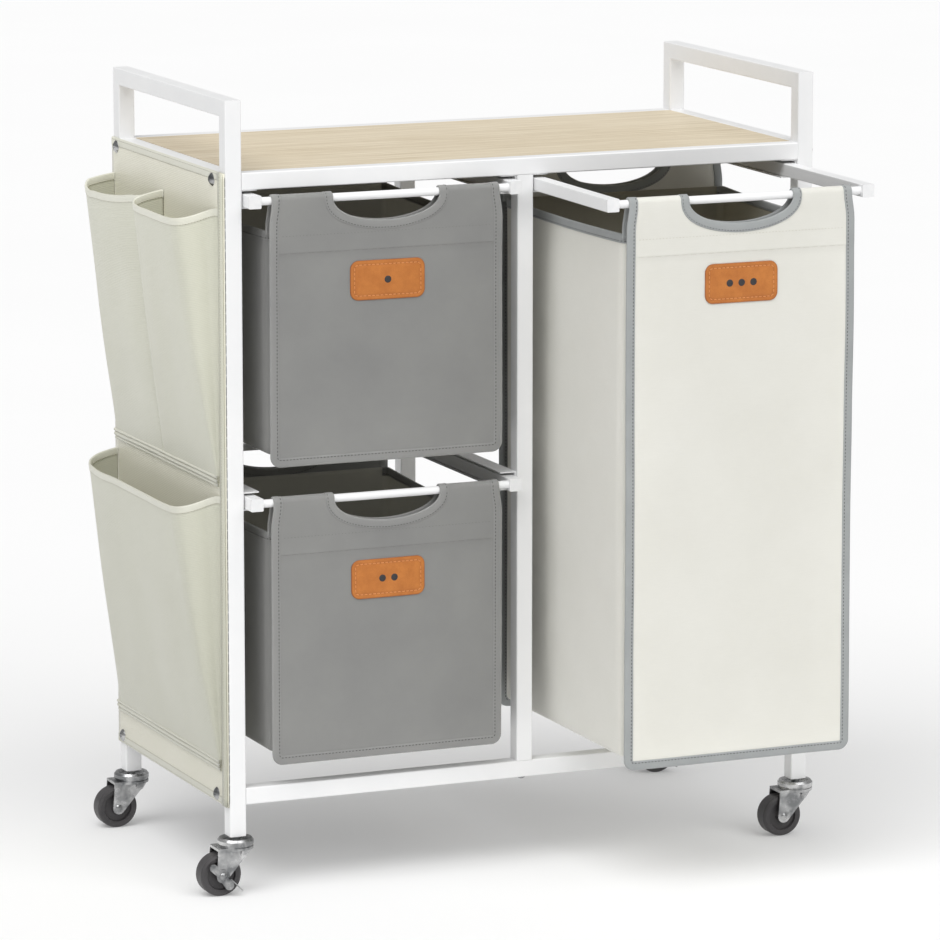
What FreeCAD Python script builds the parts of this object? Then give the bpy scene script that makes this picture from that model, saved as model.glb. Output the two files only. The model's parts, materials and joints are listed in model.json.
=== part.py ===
import FreeCAD, Part
import math
import os

# Three-bag laundry sorter on wheels, in millimetres.
# X runs along the shelf, -Y is the front that the bags pull out of, +Z is up,
# and z = 0 is the floor.  Sizes are laid out about the middle of the frame,
# and export() moves every piece so that the origin is under the box's middle.

# ---- driving dimensions ----------------------------------------------------
FRAME_W = 745.0          # outside width over the legs
FRAME_D = 376.0          # outside depth over the legs
CASTER_H = 69.0          # floor to the underside of the legs
LEG_H = 858.5            # length of a leg, up to the top of the handle
TUBE = 20.0              # square tube of the frame
TUBE_WALL = 1.2
TUBE_ROUND = 1.6         # outside corner radius of the tube
SHELF_TOP = 844.0        # top of the shelf and of its frame
BOTTOM_RAIL = 106.0      # underside of the bottom rails
UPPER_SLIDE = 812.0      # centre height of the upper bag rails
LOWER_SLIDE = 462.0      # centre height of the lower bag rail
BAG_W = 288.0            # width of a bag's front and back flaps
SHORT_DROP = 296.0       # rail centre down to the bottom of a short bag
TALL_DROP = 646.0        # rail centre down to the bottom of the tall bag
PULL_OUT = 184.0         # how far the tall bag stands out at rest

# ---- worked out from them --------------------------------------------------
SIDE = FRAME_W / 2
FRONT = -FRAME_D / 2
BACK = FRAME_D / 2
LEG_X = SIDE - TUBE / 2
LEG_Y = BACK - TUBE / 2
INNER_X = SIDE - TUBE
INNER_Y = BACK - TUBE
HANDLE_TOP = CASTER_H + LEG_H
RAIL_Z = SHELF_TOP - TUBE / 2
BOTTOM_Z = BOTTOM_RAIL + TUBE / 2
BAY_W = INNER_X - TUBE / 2
BAY_X = TUBE / 2 + BAY_W / 2

# ---- sheet and cloth -------------------------------------------------------
BOARD = 15.0
BOARD_GAP = 0.6
CHANNEL_W = 20.0
CHANNEL_SHEET = 1.5
CHANNEL_UP = 12.0        # channel top above the rail's centre
CHANNEL_DOWN = 9.5       # channel underside below the rail's centre
CHANNEL_SETBACK = 4.0    # channel ends behind the posts' faces
CLOTH = 1.6
PANEL = 1.6
RAIL = 15.0              # square tube of a bag's rails
RAIL_WALL = 1.1
RAIL_ROUND = 1.2
RAIL_LENGTH = 366.0
RAIL_FRONT = FRONT - 16.0
RAIL_PLAY = 0.5          # rail to the channel's web
CAP_HEAD = 2.0
ROD_R = 4.75
ROD_INSET = 7.5          # rod behind the cap's face
ROD_SPAN = 350.0         # front rod to back rod
ROD_CLEAR = 0.4          # rod to the cloth that goes round it
WALL_DOWN = 36.0         # side walls' top edge below the rail's centre
FLAP_EXTRA = 12.0        # flap hangs this much lower than the bag
FLAP_CORNER = 9.0
CUT_HALF = 68.0          # hand cut-out, half width
CUT_DEEP = 28.5          # hand cut-out, below the rod's centre
LABEL_W = 92.0
LABEL_H = 46.0
LABEL_T = 1.2
LABEL_CORNER = 10.0
LABEL_DOWN = 97.0        # label's centre below the rod

# ---- side organiser --------------------------------------------------------
PANEL_GAP = 0.4
PANEL_LOW = 104.0
PANEL_FACE = -(SIDE + PANEL_GAP + PANEL)
POCKET_OUT = 40.0
POCKET_FOOT = 3.0        # pocket depth left at its bottom seam
POCKET_CLOTH = 1.6
POCKET_SAG = 15.0        # hem's outer edge below its ends
POCKET_FRONT = -169.0
POCKET_BACK = 179.0
POCKET_SPLIT = 11.0
POCKET_LEAN = 41.0       # how far the front gusset slants back
UPPER_POCKET = (482.0, 802.0)
LOWER_POCKET = (147.0, 468.5)
SCREW_R = 7.8
SCREW_DOME = 4.4
SCREW_SHANK_R = 2.4
SCREW_SHANK = 6.2        # through the panel and the tube's wall
SCREW_Y = (-151.0, 172.0)
SCREW_Z = (113.5, 834.0)

# ---- frame bolts -----------------------------------------------------------
BOLT_R = 6.0
BOLT_DOME = 4.0
BOLT_SHANK_R = 2.9
BOLT_SHANK = TUBE + 4.0  # through one tube and into the end of the next
HOLE_PLAY = 0.1

# ---- casters ---------------------------------------------------------------
WHEEL_R = 25.0
WHEEL_W = 22.0
TRAIL = 21.5             # axle behind the swivel
AXLE_R = 3.0
AXLE_BORE = AXLE_R + 0.06
RING_R = 21.2
PLATE_R = 20.8
RING_LOW = 57.0
RING_TOP = 66.5
STEM_R = 5.0
STEM_BORE = STEM_R + 0.08
CHEEK_IN = 13.0          # fork cheek's inner face from the middle
CHEEK_T = 1.8
FORK_TOP = 56.0
FORK_BACK = -26.5        # swivel plate's trailing end, from the swivel
SKIRT_LOW = 45.0         # foot of the fork's leading wall
BOSS_R = 7.5
BRAKE_T = 1.5
BRAKE_GAP = 0.4

SHORT_FLAP = SHORT_DROP + FLAP_EXTRA
TALL_FLAP = TALL_DROP + FLAP_EXTRA
DRAWERS = {
    "upper": (-BAY_X, UPPER_SLIDE, 0.0, SHORT_DROP, SHORT_FLAP),
    "lower": (-BAY_X, LOWER_SLIDE, 0.0, SHORT_DROP, SHORT_FLAP),
    "tall": (BAY_X, UPPER_SLIDE, -PULL_OUT, TALL_DROP, TALL_FLAP),
}
CASTERS = {
    "front_left": (-LEG_X, -LEG_Y, True),
    "front_right": (LEG_X, -LEG_Y, False),
    "back_left": (-LEG_X, LEG_Y, False),
    "back_right": (LEG_X, LEG_Y, True),
}

# ---- origin: under the middle of the whole box -----------------------------
REACH_LEFT = POCKET_OUT - PANEL_FACE
REACH_RIGHT = LEG_X + RING_R
REACH_FRONT = CAP_HEAD - RAIL_FRONT - ROD_INSET + ROD_R + ROD_CLEAR + CLOTH + LABEL_T + PULL_OUT
REACH_BACK = LEG_Y + RING_R
ORIGIN = FreeCAD.Vector((REACH_LEFT - REACH_RIGHT) / 2, (REACH_FRONT - REACH_BACK) / 2, 0)

X_AXIS = FreeCAD.Vector(1, 0, 0)
Y_AXIS = FreeCAD.Vector(0, 1, 0)
Z_AXIS = FreeCAD.Vector(0, 0, 1)


def vec(x, y, z):
    return FreeCAD.Vector(x, y, z)


def block(low, high):
    """Box between two corners."""
    size = [high[i] - low[i] for i in range(3)]
    return Part.makeBox(size[0], size[1], size[2], vec(*low))


def rod(radius, start, axis, length):
    """Round bar from a point along an axis."""
    return Part.makeCylinder(radius, length, start, axis)


def polygon(points):
    """Flat face through points in space."""
    return Part.Face(Part.makePolygon(points + [points[0]]))


def rounded_face(width, height, radius):
    """Rounded rectangle about the origin in the XY plane."""
    x, y = width / 2 - radius, height / 2 - radius
    edges = []
    for i, (sx, sy) in enumerate([(1, 1), (-1, 1), (-1, -1), (1, -1)]):
        centre = vec(sx * x, sy * y, 0)
        turn = math.radians(90 * i)
        ends = [centre + vec(math.cos(turn + k * math.pi / 4), math.sin(turn + k * math.pi / 4), 0) * radius
                for k in range(3)]
        edges.append(Part.Arc(*ends).toShape())
    wires = []
    for i, arc in enumerate(edges):
        follow = edges[(i + 1) % 4]
        line = Part.LineSegment(arc.Vertexes[-1].Point, follow.Vertexes[0].Point).toShape()
        wires += [arc, line]
    return Part.Face(Part.Wire(wires))


def along(shape, axis, centre):
    """Turns a shape built along Z so that it runs along the axis, then places it."""
    if axis == "x":
        shape.rotate(vec(0, 0, 0), Y_AXIS, 90)
    if axis == "y":
        shape.rotate(vec(0, 0, 0), X_AXIS, -90)
    shape.translate(centre)
    return shape


def square_tube(axis, start, length, size=TUBE, wall=TUBE_WALL, radius=TUBE_ROUND):
    """Hollow square tube from the centre of one end."""
    outer = rounded_face(size, size, radius).extrude(vec(0, 0, length))
    inner = rounded_face(size - 2 * wall, size - 2 * wall, radius - wall / 2).extrude(vec(0, 0, length))
    return along(outer.cut(inner), axis, start)


def export(name, shape):
    """Writes one piece, moved to the row's origin."""
    moved = shape.copy()
    moved.translate(ORIGIN)
    moved.exportStep("parts/" + name + ".step")


# ---- frame -----------------------------------------------------------------
def mitre(side_y):
    """Wedge above the 45 degree joint between a leg and the handle bar."""
    outer = side_y * BACK
    inner = side_y * INNER_Y
    reach = TUBE
    points = [vec(-reach, outer, HANDLE_TOP), vec(-reach, inner, HANDLE_TOP - TUBE),
              vec(-reach, inner, HANDLE_TOP + reach), vec(-reach, outer, HANDLE_TOP + reach)]
    return polygon(points).extrude(vec(2 * reach, 0, 0))


def leg(x, side_y):
    """Leg with a mitred top and a plate at its foot that takes the caster's stem."""
    tube = square_tube("z", vec(x, side_y * LEG_Y, CASTER_H), LEG_H)
    wedge = mitre(side_y)
    wedge.translate(vec(x, 0, 0))
    inside = TUBE - 2 * TUBE_WALL
    plate = rounded_face(inside, inside, TUBE_ROUND - TUBE_WALL / 2).extrude(vec(0, 0, 3))
    plate.translate(vec(x, side_y * LEG_Y, CASTER_H))
    bore = rod(STEM_BORE, vec(x, side_y * LEG_Y, CASTER_H - 1), Z_AXIS, 6)
    return tube.cut(wedge).fuse(plate).cut(bore).removeSplitter()


def handle_bar(x):
    """Bar across the tops of two legs, mitred at both ends."""
    bar = square_tube("y", vec(x, FRONT, HANDLE_TOP - TUBE / 2), FRAME_D)
    for side_y in (-1, 1):
        outer = side_y * BACK
        points = [vec(-TUBE, outer, HANDLE_TOP), vec(-TUBE, side_y * INNER_Y, HANDLE_TOP - TUBE),
                  vec(-TUBE, outer, HANDLE_TOP - TUBE)]
        below = polygon(points).extrude(vec(2 * TUBE, 0, 0))
        below.translate(vec(x, 0, 0))
        bar = bar.cut(below)
    return bar


def bolt_places():
    """Where each frame bolt's head sits and which way it faces."""
    places = []
    for y in (-LEG_Y, LEG_Y):
        places += [(vec(SIDE, y, BOTTOM_Z), X_AXIS), (vec(SIDE, y, RAIL_Z), X_AXIS)]
        places.append((vec(0, y, BOTTOM_RAIL), -Z_AXIS))
    return places


def screw_places():
    """Corners of the organiser, where its screws' heads sit."""
    return [vec(PANEL_FACE, y, z) for y in SCREW_Y for z in SCREW_Z]


def fastener_holes():
    """Holes for every bolt and screw, to cut from what they go through."""
    holes = [rod(BOLT_SHANK_R + HOLE_PLAY, centre, -axis, BOLT_SHANK) for centre, axis in bolt_places()]
    holes += [rod(SCREW_SHANK_R + HOLE_PLAY, centre, X_AXIS, SCREW_SHANK) for centre in screw_places()]
    return Part.makeCompound(holes)


def frame_pieces():
    """Every square tube of the frame."""
    pieces = {}
    for side, x in (("left", -LEG_X), ("right", LEG_X)):
        pieces[side + "_front_leg"] = leg(x, -1)
        pieces[side + "_back_leg"] = leg(x, 1)
        pieces[side + "_handle_bar"] = handle_bar(x)
        pieces[side + "_top_rail"] = square_tube("y", vec(x, -INNER_Y, RAIL_Z), 2 * INNER_Y)
        pieces[side + "_bottom_rail"] = square_tube("y", vec(x, -INNER_Y, BOTTOM_Z), 2 * INNER_Y)
    post = RAIL_Z - BOTTOM_Z - TUBE
    for side, y in (("front", -LEG_Y), ("back", LEG_Y)):
        pieces[side + "_top_rail"] = square_tube("x", vec(-INNER_X, y, RAIL_Z), 2 * INNER_X)
        pieces[side + "_bottom_rail"] = square_tube("x", vec(-INNER_X, y, BOTTOM_Z), 2 * INNER_X)
        pieces[side + "_middle_post"] = square_tube("z", vec(0, y, BOTTOM_Z + TUBE / 2), post)
    holes = fastener_holes()
    return {name: tube.cut(holes) for name, tube in pieces.items()}


def shelf_board():
    """Board set flush inside the top frame."""
    board = rounded_face(2 * (INNER_X - BOARD_GAP), 2 * (INNER_Y - BOARD_GAP), 1.0)
    solid = board.extrude(vec(0, 0, BOARD))
    solid.translate(vec(0, 0, SHELF_TOP - BOARD))
    return solid


def shelf_tabs():
    """Steel tabs welded inside the top frame, which carry the board."""
    tab_w, tab_t, reach = 24.0, 1.5, 16.0
    top = SHELF_TOP - BOARD
    tabs = []
    for x in (-INNER_X / 2, INNER_X / 2):
        for side_y in (-1, 1):
            edge = side_y * INNER_Y
            low_y, high_y = sorted((edge, edge - side_y * reach))
            tabs.append(block((x - tab_w / 2, low_y, top - tab_t), (x + tab_w / 2, high_y, top)))
    return Part.makeCompound(tabs)


def bolt(centre, axis, radius, dome, shank_r, shank):
    """Domed head standing out along the axis, with its shank behind it."""
    sphere_r = (radius ** 2 + dome ** 2) / (2 * dome)
    ball = Part.makeSphere(sphere_r, centre + axis * (dome - sphere_r))
    head = ball.common(rod(radius, centre, axis, dome))
    slot = Part.makeBox(radius * 1.1, 1.4, 1.6, vec(-radius * 0.55, -0.7, 0))
    cross = slot.fuse(Part.makeBox(1.4, radius * 1.1, 1.6, vec(-0.7, -radius * 0.55, 0)))
    cross.Placement = FreeCAD.Placement(centre + axis * (dome - 1.2), FreeCAD.Rotation(Z_AXIS, axis))
    return head.cut(cross).fuse(rod(shank_r, centre - axis * shank, axis, shank + dome / 4))


def frame_bolts():
    """Bolts that hold the cross rails to the right side and the posts to the bottom rails."""
    size = (BOLT_R, BOLT_DOME, BOLT_SHANK_R, BOLT_SHANK)
    return Part.makeCompound([bolt(centre, axis, *size) for centre, axis in bolt_places()])


# ---- slides and bags -------------------------------------------------------
def channel(x_web, inward, z):
    """C channel: web against the post, flanges reaching into the bay."""
    length = FRAME_D - 2 * CHANNEL_SETBACK
    low_y = FRONT + CHANNEL_SETBACK
    low, high = z - CHANNEL_DOWN, z + CHANNEL_UP
    tip = x_web + inward * CHANNEL_W
    web = x_web + inward * CHANNEL_SHEET
    outline = [(x_web, low), (tip, low), (tip, low + CHANNEL_SHEET), (web, low + CHANNEL_SHEET),
               (web, high - CHANNEL_SHEET), (tip, high - CHANNEL_SHEET), (tip, high), (x_web, high)]
    return polygon([vec(x, low_y, h) for x, h in outline]).extrude(vec(0, length, 0))


def channel_pair(bay_x, z):
    """The two fixed channels of one bay at one height."""
    left = channel(bay_x - BAY_W / 2, 1, z)
    right = channel(bay_x + BAY_W / 2, -1, z)
    return Part.makeCompound([left, right])


def rail_offset():
    """Rail centre from the middle of the bay."""
    return BAY_W / 2 - CHANNEL_SHEET - RAIL_PLAY - RAIL / 2


def side_rails(bay_x, z, shift):
    """Square rails on both sides of a bag."""
    rails = []
    for side in (-1, 1):
        start = vec(bay_x + side * rail_offset(), RAIL_FRONT + shift, z)
        rails.append(square_tube("y", start, RAIL_LENGTH, RAIL, RAIL_WALL, RAIL_ROUND))
    return Part.makeCompound(rails)


def end_caps(bay_x, z, shift):
    """Plastic caps that plug the four rail ends."""
    plug = RAIL - 2 * RAIL_WALL - 0.3
    caps = []
    for side in (-1, 1):
        for end, facing in ((RAIL_FRONT, -1), (RAIL_FRONT + RAIL_LENGTH, 1)):
            head = rounded_face(RAIL, RAIL, RAIL_ROUND).extrude(vec(0, 0, CAP_HEAD))
            stub = rounded_face(plug, plug, 0.5).extrude(vec(0, 0, -6))
            cap = head.fuse(stub)
            cap.rotate(vec(0, 0, 0), X_AXIS, 90 if facing < 0 else -90)
            cap.translate(vec(bay_x + side * rail_offset(), end + shift, z))
            caps.append(cap)
    return Part.makeCompound(caps)


def rod_places(shift):
    """Y of the front and the back rod."""
    front = RAIL_FRONT - CAP_HEAD + ROD_INSET + shift
    return front, front + ROD_SPAN


def bag_rods(bay_x, z, shift):
    """Front and back rods, welded between the side rails."""
    half = rail_offset() - RAIL / 2
    rods = [rod(ROD_R, vec(bay_x - half, y, z), X_AXIS, 2 * half) for y in rod_places(shift)]
    return Part.makeCompound(rods)


def hand_cut(bay_x, y, z):
    """Solid that cuts the hand opening through cloth round a rod at y."""
    ellipse = Part.Ellipse(vec(0, 0, 0), CUT_HALF, CUT_DEEP)
    disc = Part.Face(Part.Wire(ellipse.toShape())).extrude(vec(0, 0, 40))
    disc.rotate(vec(0, 0, 0), X_AXIS, -90)
    disc.translate(vec(bay_x, y - 20, z))
    above = block((bay_x - CUT_HALF, y - 20, z), (bay_x + CUT_HALF, y + 20, z + 20))
    return disc.fuse(above)


def saddle(bay_x, y, z, width):
    """Cloth bent over the top of a rod."""
    inner = ROD_R + ROD_CLEAR
    outer = inner + CLOTH
    start = vec(bay_x - width / 2, y, z)
    ring = rod(outer, start, X_AXIS, width).cut(rod(inner, start, X_AXIS, width))
    return ring.common(block((bay_x - width, y - 20, z), (bay_x + width, y + 20, z + 20)))


def hanging(bay_x, y, z, facing, drop):
    """Flap over a rod, hanging outside the bag on the side that it faces."""
    near = y + facing * (ROD_R + ROD_CLEAR)
    far = near + facing * CLOTH
    sheet = rounded_face(BAG_W, drop + 2 * FLAP_CORNER, FLAP_CORNER).extrude(vec(0, 0, CLOTH))
    sheet.rotate(vec(0, 0, 0), X_AXIS, 90)
    sheet.translate(vec(bay_x, max(near, far), z - drop / 2 + FLAP_CORNER))
    sheet = sheet.cut(block((bay_x - BAG_W, y - 20, z), (bay_x + BAG_W, y + 20, z + 100)))
    return sheet.fuse(saddle(bay_x, y, z, BAG_W - 2))


def bag(bay_x, z, shift, drop):
    """Open bag: two low side walls, a front that rises to its rod, and a back flap over the other."""
    front, back = rod_places(shift)
    inner = ROD_R + ROD_CLEAR
    width = BAG_W - 2
    left, right = bay_x - width / 2, bay_x + width / 2
    near, far = front + inner, back - inner
    floor = z - drop
    walls = block((left, near, floor), (right, far, z))
    walls = walls.cut(block((left + CLOTH, near + CLOTH, floor + CLOTH), (right - CLOTH, far - CLOTH, z + 1)))
    walls = walls.cut(block((left - 1, near + CLOTH, z - WALL_DOWN), (right + 1, far - CLOTH, z + 1)))
    whole = walls.fuse(hanging(bay_x, back, z, 1, drop + FLAP_EXTRA))
    for y in (front, back):
        whole = whole.cut(hand_cut(bay_x, y, z))
    return whole.removeSplitter()


def flap(bay_x, z, shift, flap_drop):
    """Front panel that comes over the front rod and hangs outside the bag."""
    front = rod_places(shift)[0]
    return hanging(bay_x, front, z, -1, flap_drop).cut(hand_cut(bay_x, front, z)).removeSplitter()


def label(bay_x, z, shift):
    """Leather patch sewn to the flap."""
    face = rod_places(shift)[0] - ROD_R - ROD_CLEAR - CLOTH
    patch = rounded_face(LABEL_W, LABEL_H, LABEL_CORNER).extrude(vec(0, 0, LABEL_T))
    patch.rotate(vec(0, 0, 0), X_AXIS, 90)
    patch.translate(vec(bay_x, face, z - LABEL_DOWN))
    return patch


# ---- side organiser --------------------------------------------------------
def organizer_panel():
    """Backing cloth of the organiser, with its screw holes."""
    sheet = block((PANEL_FACE, FRONT + 1, PANEL_LOW), (PANEL_FACE + PANEL, BACK, SHELF_TOP))
    return sheet.cut(fastener_holes())


def pocket_shell(front, back, low, high, inset, over):
    """Wedge that opens upward: deep at the hem, shallow at the bottom seam."""
    deep, shallow = POCKET_OUT - inset, POCKET_FOOT - inset / 2
    low += inset

    def ring(depth, z, drop):
        outer = PANEL_FACE - depth
        lean = POCKET_LEAN * depth / POCKET_OUT
        return Part.makePolygon([
            vec(PANEL_FACE, back - inset, z), vec(outer, back - inset, z - drop),
            vec(outer, front + lean + inset, z - drop), vec(PANEL_FACE, front + inset, z),
            vec(PANEL_FACE, back - inset, z)])

    top = ring(deep * (1 + over / (high - low)), high + over, POCKET_SAG)
    return Part.makeLoft([ring(shallow, low, 0), top], True, True)


def pocket(front, back, heights):
    """One organiser pocket, open at the top and towards the panel."""
    low, high = heights
    outer = pocket_shell(front, back, low, high, 0.0, 0.0)
    inner = pocket_shell(front, back, low, high, POCKET_CLOTH, 14.0)
    return outer.cut(inner)


def organizer_screws():
    """Corner screws of the organiser, with their heads outside the cloth."""
    size = (SCREW_R, SCREW_DOME, SCREW_SHANK_R, SCREW_SHANK)
    return Part.makeCompound([bolt(centre, -X_AXIS, *size) for centre in screw_places()])


# ---- casters ---------------------------------------------------------------
def caster_stem(x, y):
    """Threaded stem, its nut under the leg and the rivet head inside the fork."""
    shank = rod(STEM_R, vec(x, y, FORK_TOP - 3), Z_AXIS, CASTER_H + 16 - FORK_TOP + 3)
    nut = rod(8.5, vec(x, y, RING_TOP + 0.3), Z_AXIS, CASTER_H - RING_TOP - 0.4)
    head = rod(8.0, vec(x, y, FORK_TOP - 4.6), Z_AXIS, 2.0)
    return shank.fuse(nut).fuse(head)


def cheek(y_low):
    """Side plate of the fork, from the swivel plate down to the axle."""
    outline = [(FORK_BACK, FORK_TOP), (-TRAIL - BOSS_R, WHEEL_R), (-TRAIL + 5.4, WHEEL_R - 5.2),
               (6.0, SKIRT_LOW), (14.2, FORK_TOP)]
    plate = polygon([vec(x, y_low, z) for x, z in outline]).extrude(vec(0, CHEEK_T, 0))
    boss = rod(BOSS_R, vec(-TRAIL, y_low, WHEEL_R), Y_AXIS, CHEEK_T)
    return plate.fuse(boss)


def fork_ring():
    """Pressed ball race on top of the fork."""
    profile = [(STEM_BORE, RING_LOW), (RING_R - 1.5, RING_LOW - 0.5), (RING_R, RING_LOW + 3),
               (RING_R, RING_TOP - 2.5), (RING_R - 2.0, RING_TOP), (RING_R - 5.0, RING_TOP),
               (RING_R - 6.5, RING_TOP - 3.0), (STEM_BORE, RING_TOP - 3.0)]
    return polygon([vec(r, 0, z) for r, z in profile]).revolve(vec(0, 0, 0), Z_AXIS, 360)


def fork_skirt():
    """Pressed wall round the leading end of the fork, narrowing downward into the cheeks."""
    low_r, high_r, tall = CHEEK_IN + 1.2, PLATE_R - 0.6, FORK_TOP - SKIRT_LOW
    outside = Part.makeCone(low_r, high_r, tall, vec(0, 0, SKIRT_LOW), Z_AXIS)
    inside = Part.makeCone(low_r - CHEEK_T, high_r - CHEEK_T, tall, vec(0, 0, SKIRT_LOW), Z_AXIS)
    leading = block((1, -RING_R, SKIRT_LOW - 1), (RING_R + 1, RING_R, FORK_TOP + 1))
    return outside.cut(inside).common(leading)


def fork(x, y):
    """Swivel fork with its race, trailing towards -X."""
    outer = CHEEK_IN + CHEEK_T
    top = block((FORK_BACK, -outer, FORK_TOP - CHEEK_T), (0, outer, FORK_TOP + 1.2))
    disc = rod(PLATE_R, vec(0, 0, FORK_TOP - CHEEK_T), Z_AXIS, CHEEK_T + 1.2)
    whole = top.fuse(disc).fuse(fork_skirt()).fuse(cheek(CHEEK_IN)).fuse(cheek(-outer)).fuse(fork_ring())
    whole = whole.cut(rod(STEM_BORE, vec(0, 0, 40), Z_AXIS, 40))
    whole = whole.cut(rod(AXLE_BORE, vec(-TRAIL, -outer - 1, WHEEL_R), Y_AXIS, 2 * outer + 2))
    whole.translate(vec(x, y, 0))
    return whole.removeSplitter()


def wheel(x, y):
    """Plastic wheel with a rounded tread and a dished hub."""
    half = WHEEL_W / 2
    ring_in, hub_r, dish = 17.5, 7.0, 3.5
    profile = [(AXLE_BORE, -half), (hub_r, -half), (hub_r + 1, -half + dish), (ring_in - 1, -half + dish),
               (ring_in, -half + 0.5), (WHEEL_R - 3, -half), (WHEEL_R - 0.9, -half + 1.0),
               (WHEEL_R, -half + 3.2)]
    outline = profile + [(r, -h) for r, h in reversed(profile)]
    body = polygon([vec(r, h, 0) for r, h in outline]).revolve(vec(0, 0, 0), Y_AXIS, 360)
    body.translate(vec(x - TRAIL, y, WHEEL_R))
    return body


def axle(x, y, braked):
    """Axle pin with a rivet head outside each cheek, or outside the brake lever."""
    far = CHEEK_IN + CHEEK_T
    near = far + (BRAKE_T + 2 * BRAKE_GAP if braked else 0)
    start = vec(x - TRAIL, y - near, WHEEL_R)
    pin = rod(AXLE_R, start, Y_AXIS, near + far)
    ball_r, sunk = 6.4, 4.6
    for face, facing in ((y - near, -1), (y + far, 1)):
        ball = Part.makeSphere(ball_r, vec(x - TRAIL, face - facing * sunk, WHEEL_R))
        outside = rod(ball_r, vec(x - TRAIL, face, WHEEL_R), Y_AXIS * facing, ball_r)
        pin = pin.fuse(ball.common(outside))
    return pin


def brake_lever(x, y):
    """Stamped lever outside the front cheek, with a pedal bent outward."""
    face = y - CHEEK_IN - CHEEK_T - BRAKE_GAP - BRAKE_T
    hub = vec(x - TRAIL, face, WHEEL_R)
    lobes = [(-12.0, 11.0, 4.6), (0.0, 0.0, 8.0), (7.6, -11.3, 5.6)]
    plate = None
    for (x0, z0, r0), (x1, z1, r1) in zip(lobes, lobes[1:]):
        ends = rod(r0, hub + vec(x0, 0, z0), Y_AXIS, BRAKE_T)
        ends = ends.fuse(rod(r1, hub + vec(x1, 0, z1), Y_AXIS, BRAKE_T))
        run = vec(x1 - x0, 0, z1 - z0)
        side = vec(-run.z, 0, run.x).normalize() * min(r0, r1)
        corners = [hub + vec(x0, 0, z0) + side, hub + vec(x1, 0, z1) + side,
                   hub + vec(x1, 0, z1) - side, hub + vec(x0, 0, z0) - side]
        strip = polygon(corners).extrude(vec(0, BRAKE_T, 0))
        piece = ends.fuse(strip)
        plate = piece if plate is None else plate.fuse(piece)
    run = vec(1, 0, -1).normalize()
    side = vec(1, 0, 1).normalize()
    base = hub + vec(7.0, 0, -3.0)
    pedal = polygon([base, base + run * 21, base + run * 21 + side * 1.2, base + side * 1.2])
    pedal = pedal.extrude(vec(0, BRAKE_T - 8.0, 0))
    pedal.translate(vec(0, BRAKE_T, 0))
    lever = plate.fuse(pedal).cut(rod(AXLE_BORE, hub - Y_AXIS, Y_AXIS, BRAKE_T + 2))
    return lever.removeSplitter()


# ---- everything ------------------------------------------------------------
def main():
    os.makedirs("parts", exist_ok=True)
    pieces = frame_pieces()
    pieces["shelf_board"] = shelf_board()
    pieces["shelf_tabs"] = shelf_tabs()
    pieces["frame_bolts"] = frame_bolts()
    for name, (bay_x, z, shift, drop, flap_drop) in DRAWERS.items():
        pieces[name + "_slide_channels"] = channel_pair(bay_x, z)
        pieces[name + "_bag_rails"] = side_rails(bay_x, z, shift)
        pieces[name + "_bag_rods"] = bag_rods(bay_x, z, shift)
        pieces[name + "_rail_caps"] = end_caps(bay_x, z, shift)
        pieces[name + "_bag"] = bag(bay_x, z, shift, drop)
        pieces[name + "_bag_flap"] = flap(bay_x, z, shift, flap_drop)
        pieces[name + "_label"] = label(bay_x, z, shift)
    pieces["organizer_panel"] = organizer_panel()
    pieces["back_upper_pocket"] = pocket(POCKET_SPLIT + 1, POCKET_BACK, UPPER_POCKET)
    pieces["front_upper_pocket"] = pocket(POCKET_FRONT, POCKET_SPLIT - 1, UPPER_POCKET)
    pieces["lower_pocket"] = pocket(POCKET_FRONT, POCKET_BACK, LOWER_POCKET)
    pieces["organizer_screws"] = organizer_screws()
    stems = [caster_stem(x, y) for x, y, braked in CASTERS.values()]
    pieces["caster_stems"] = Part.makeCompound(stems)
    for name, (x, y, braked) in CASTERS.items():
        pieces[name + "_fork"] = fork(x, y)
        pieces[name + "_wheel"] = wheel(x, y)
        pieces[name + "_axle"] = axle(x, y, braked)
        if braked:
            pieces[name + "_brake_lever"] = brake_lever(x, y)
    for name, shape in pieces.items():
        export(name, shape)
    print("nodes", len(pieces), "origin", ORIGIN)
    print("box", Part.makeCompound(list(pieces.values())).BoundBox)
    print("invalid", [name for name, shape in pieces.items() if not shape.isValid()])


main()
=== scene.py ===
import json
import math

import bpy
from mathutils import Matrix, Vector, noise


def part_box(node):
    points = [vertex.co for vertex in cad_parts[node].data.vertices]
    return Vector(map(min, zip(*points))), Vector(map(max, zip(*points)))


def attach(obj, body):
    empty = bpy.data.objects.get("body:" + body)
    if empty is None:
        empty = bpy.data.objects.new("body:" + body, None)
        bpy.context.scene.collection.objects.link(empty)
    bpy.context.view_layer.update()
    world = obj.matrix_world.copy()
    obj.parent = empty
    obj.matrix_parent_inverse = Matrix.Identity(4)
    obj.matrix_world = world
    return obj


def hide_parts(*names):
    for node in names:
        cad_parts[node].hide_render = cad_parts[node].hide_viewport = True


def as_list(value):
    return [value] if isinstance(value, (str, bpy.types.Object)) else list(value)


# Looks of the laundry sorter.  Lengths in the shape code are millimetres along the frame's axes,
# and make_piece writes each mesh in metres.  A cloth surface is a place(u, v, h) function of two
# lengths on the flat cloth, u across and v along, and of the height h above the cloth's middle.
# Hems, tapes and stitches are laid on the cloth through it.

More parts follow.
